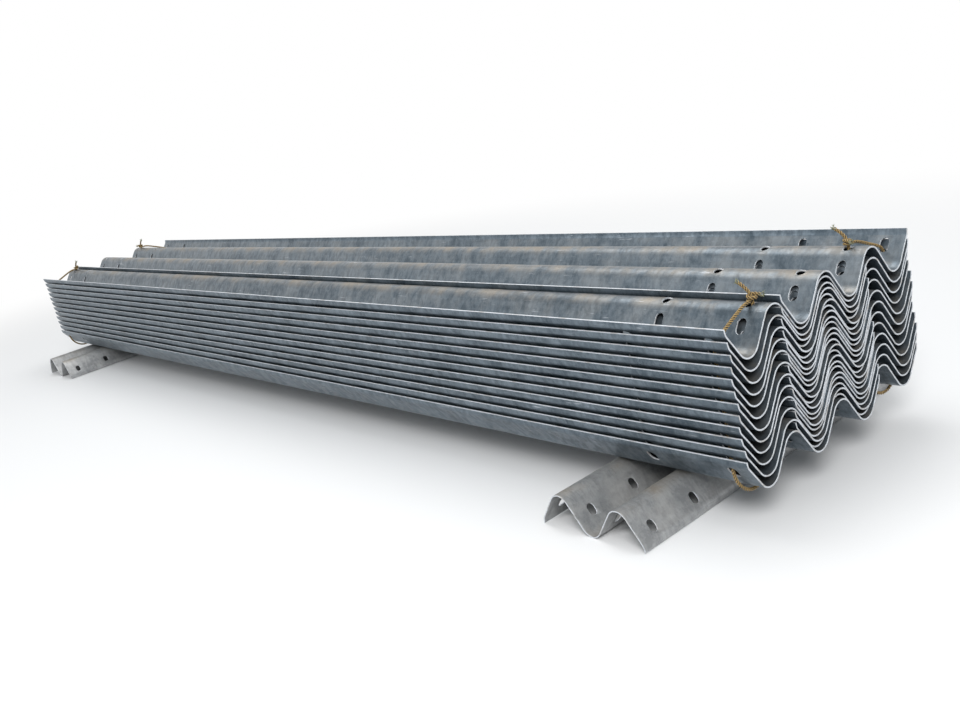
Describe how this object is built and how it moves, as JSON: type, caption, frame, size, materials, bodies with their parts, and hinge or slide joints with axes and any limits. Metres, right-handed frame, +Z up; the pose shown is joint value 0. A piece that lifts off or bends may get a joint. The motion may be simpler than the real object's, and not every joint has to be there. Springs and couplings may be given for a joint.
{
  "type": "tied bundle of three-wave guardrail beams",
  "caption": "Galvanised three-wave highway guardrail beams nested edge up in one column, roped together through their bolt slots and laid on crosswise two-wave bearers.",
  "frame": {"origin": "on the floor under the middle of the bundle", "axes": "+X along the beams, towards the front ends; +Y across, towards the side that the top beam leans to; +Z up"},
  "size_m": [4.326, 1, 0.5169],
  "materials": {
    "rail_zinc": "hot-dip galvanised sheet, mottled grey spangle",
    "bearer_zinc": "hot-dip galvanised sheet, dusty",
    "rope": "twisted natural-fibre rope"
  },
  "bodies": {
    "root": {"bearer_back": "bearer_zinc", "bearer_front": "bearer_zinc", "rail_01": "rail_zinc", "rail_02": "rail_zinc", "rail_03": "rail_zinc", "rail_04": "rail_zinc", "rail_05": "rail_zinc", "rail_06": "rail_zinc", "rail_07": "rail_zinc", "rail_08": "rail_zinc", "rail_09": "rail_zinc", "rail_10": "rail_zinc", "rail_11": "rail_zinc", "rail_12": "rail_zinc", "rail_13": "rail_zinc", "rail_14": "rail_zinc", "rail_15": "rail_zinc", "rail_16": "rail_zinc", "rail_17": "rail_zinc", "rail_18": "rail_zinc", "rail_19": "rail_zinc", "rail_20": "rail_zinc", "rail_21": "rail_zinc", "rail_22": "rail_zinc", "rail_23": "rail_zinc", "rail_24": "rail_zinc", "tie_back_left": "rope", "tie_back_right": "rope", "tie_front_left": "rope", "tie_front_right": "rope"}
  },
  "joints": []
}
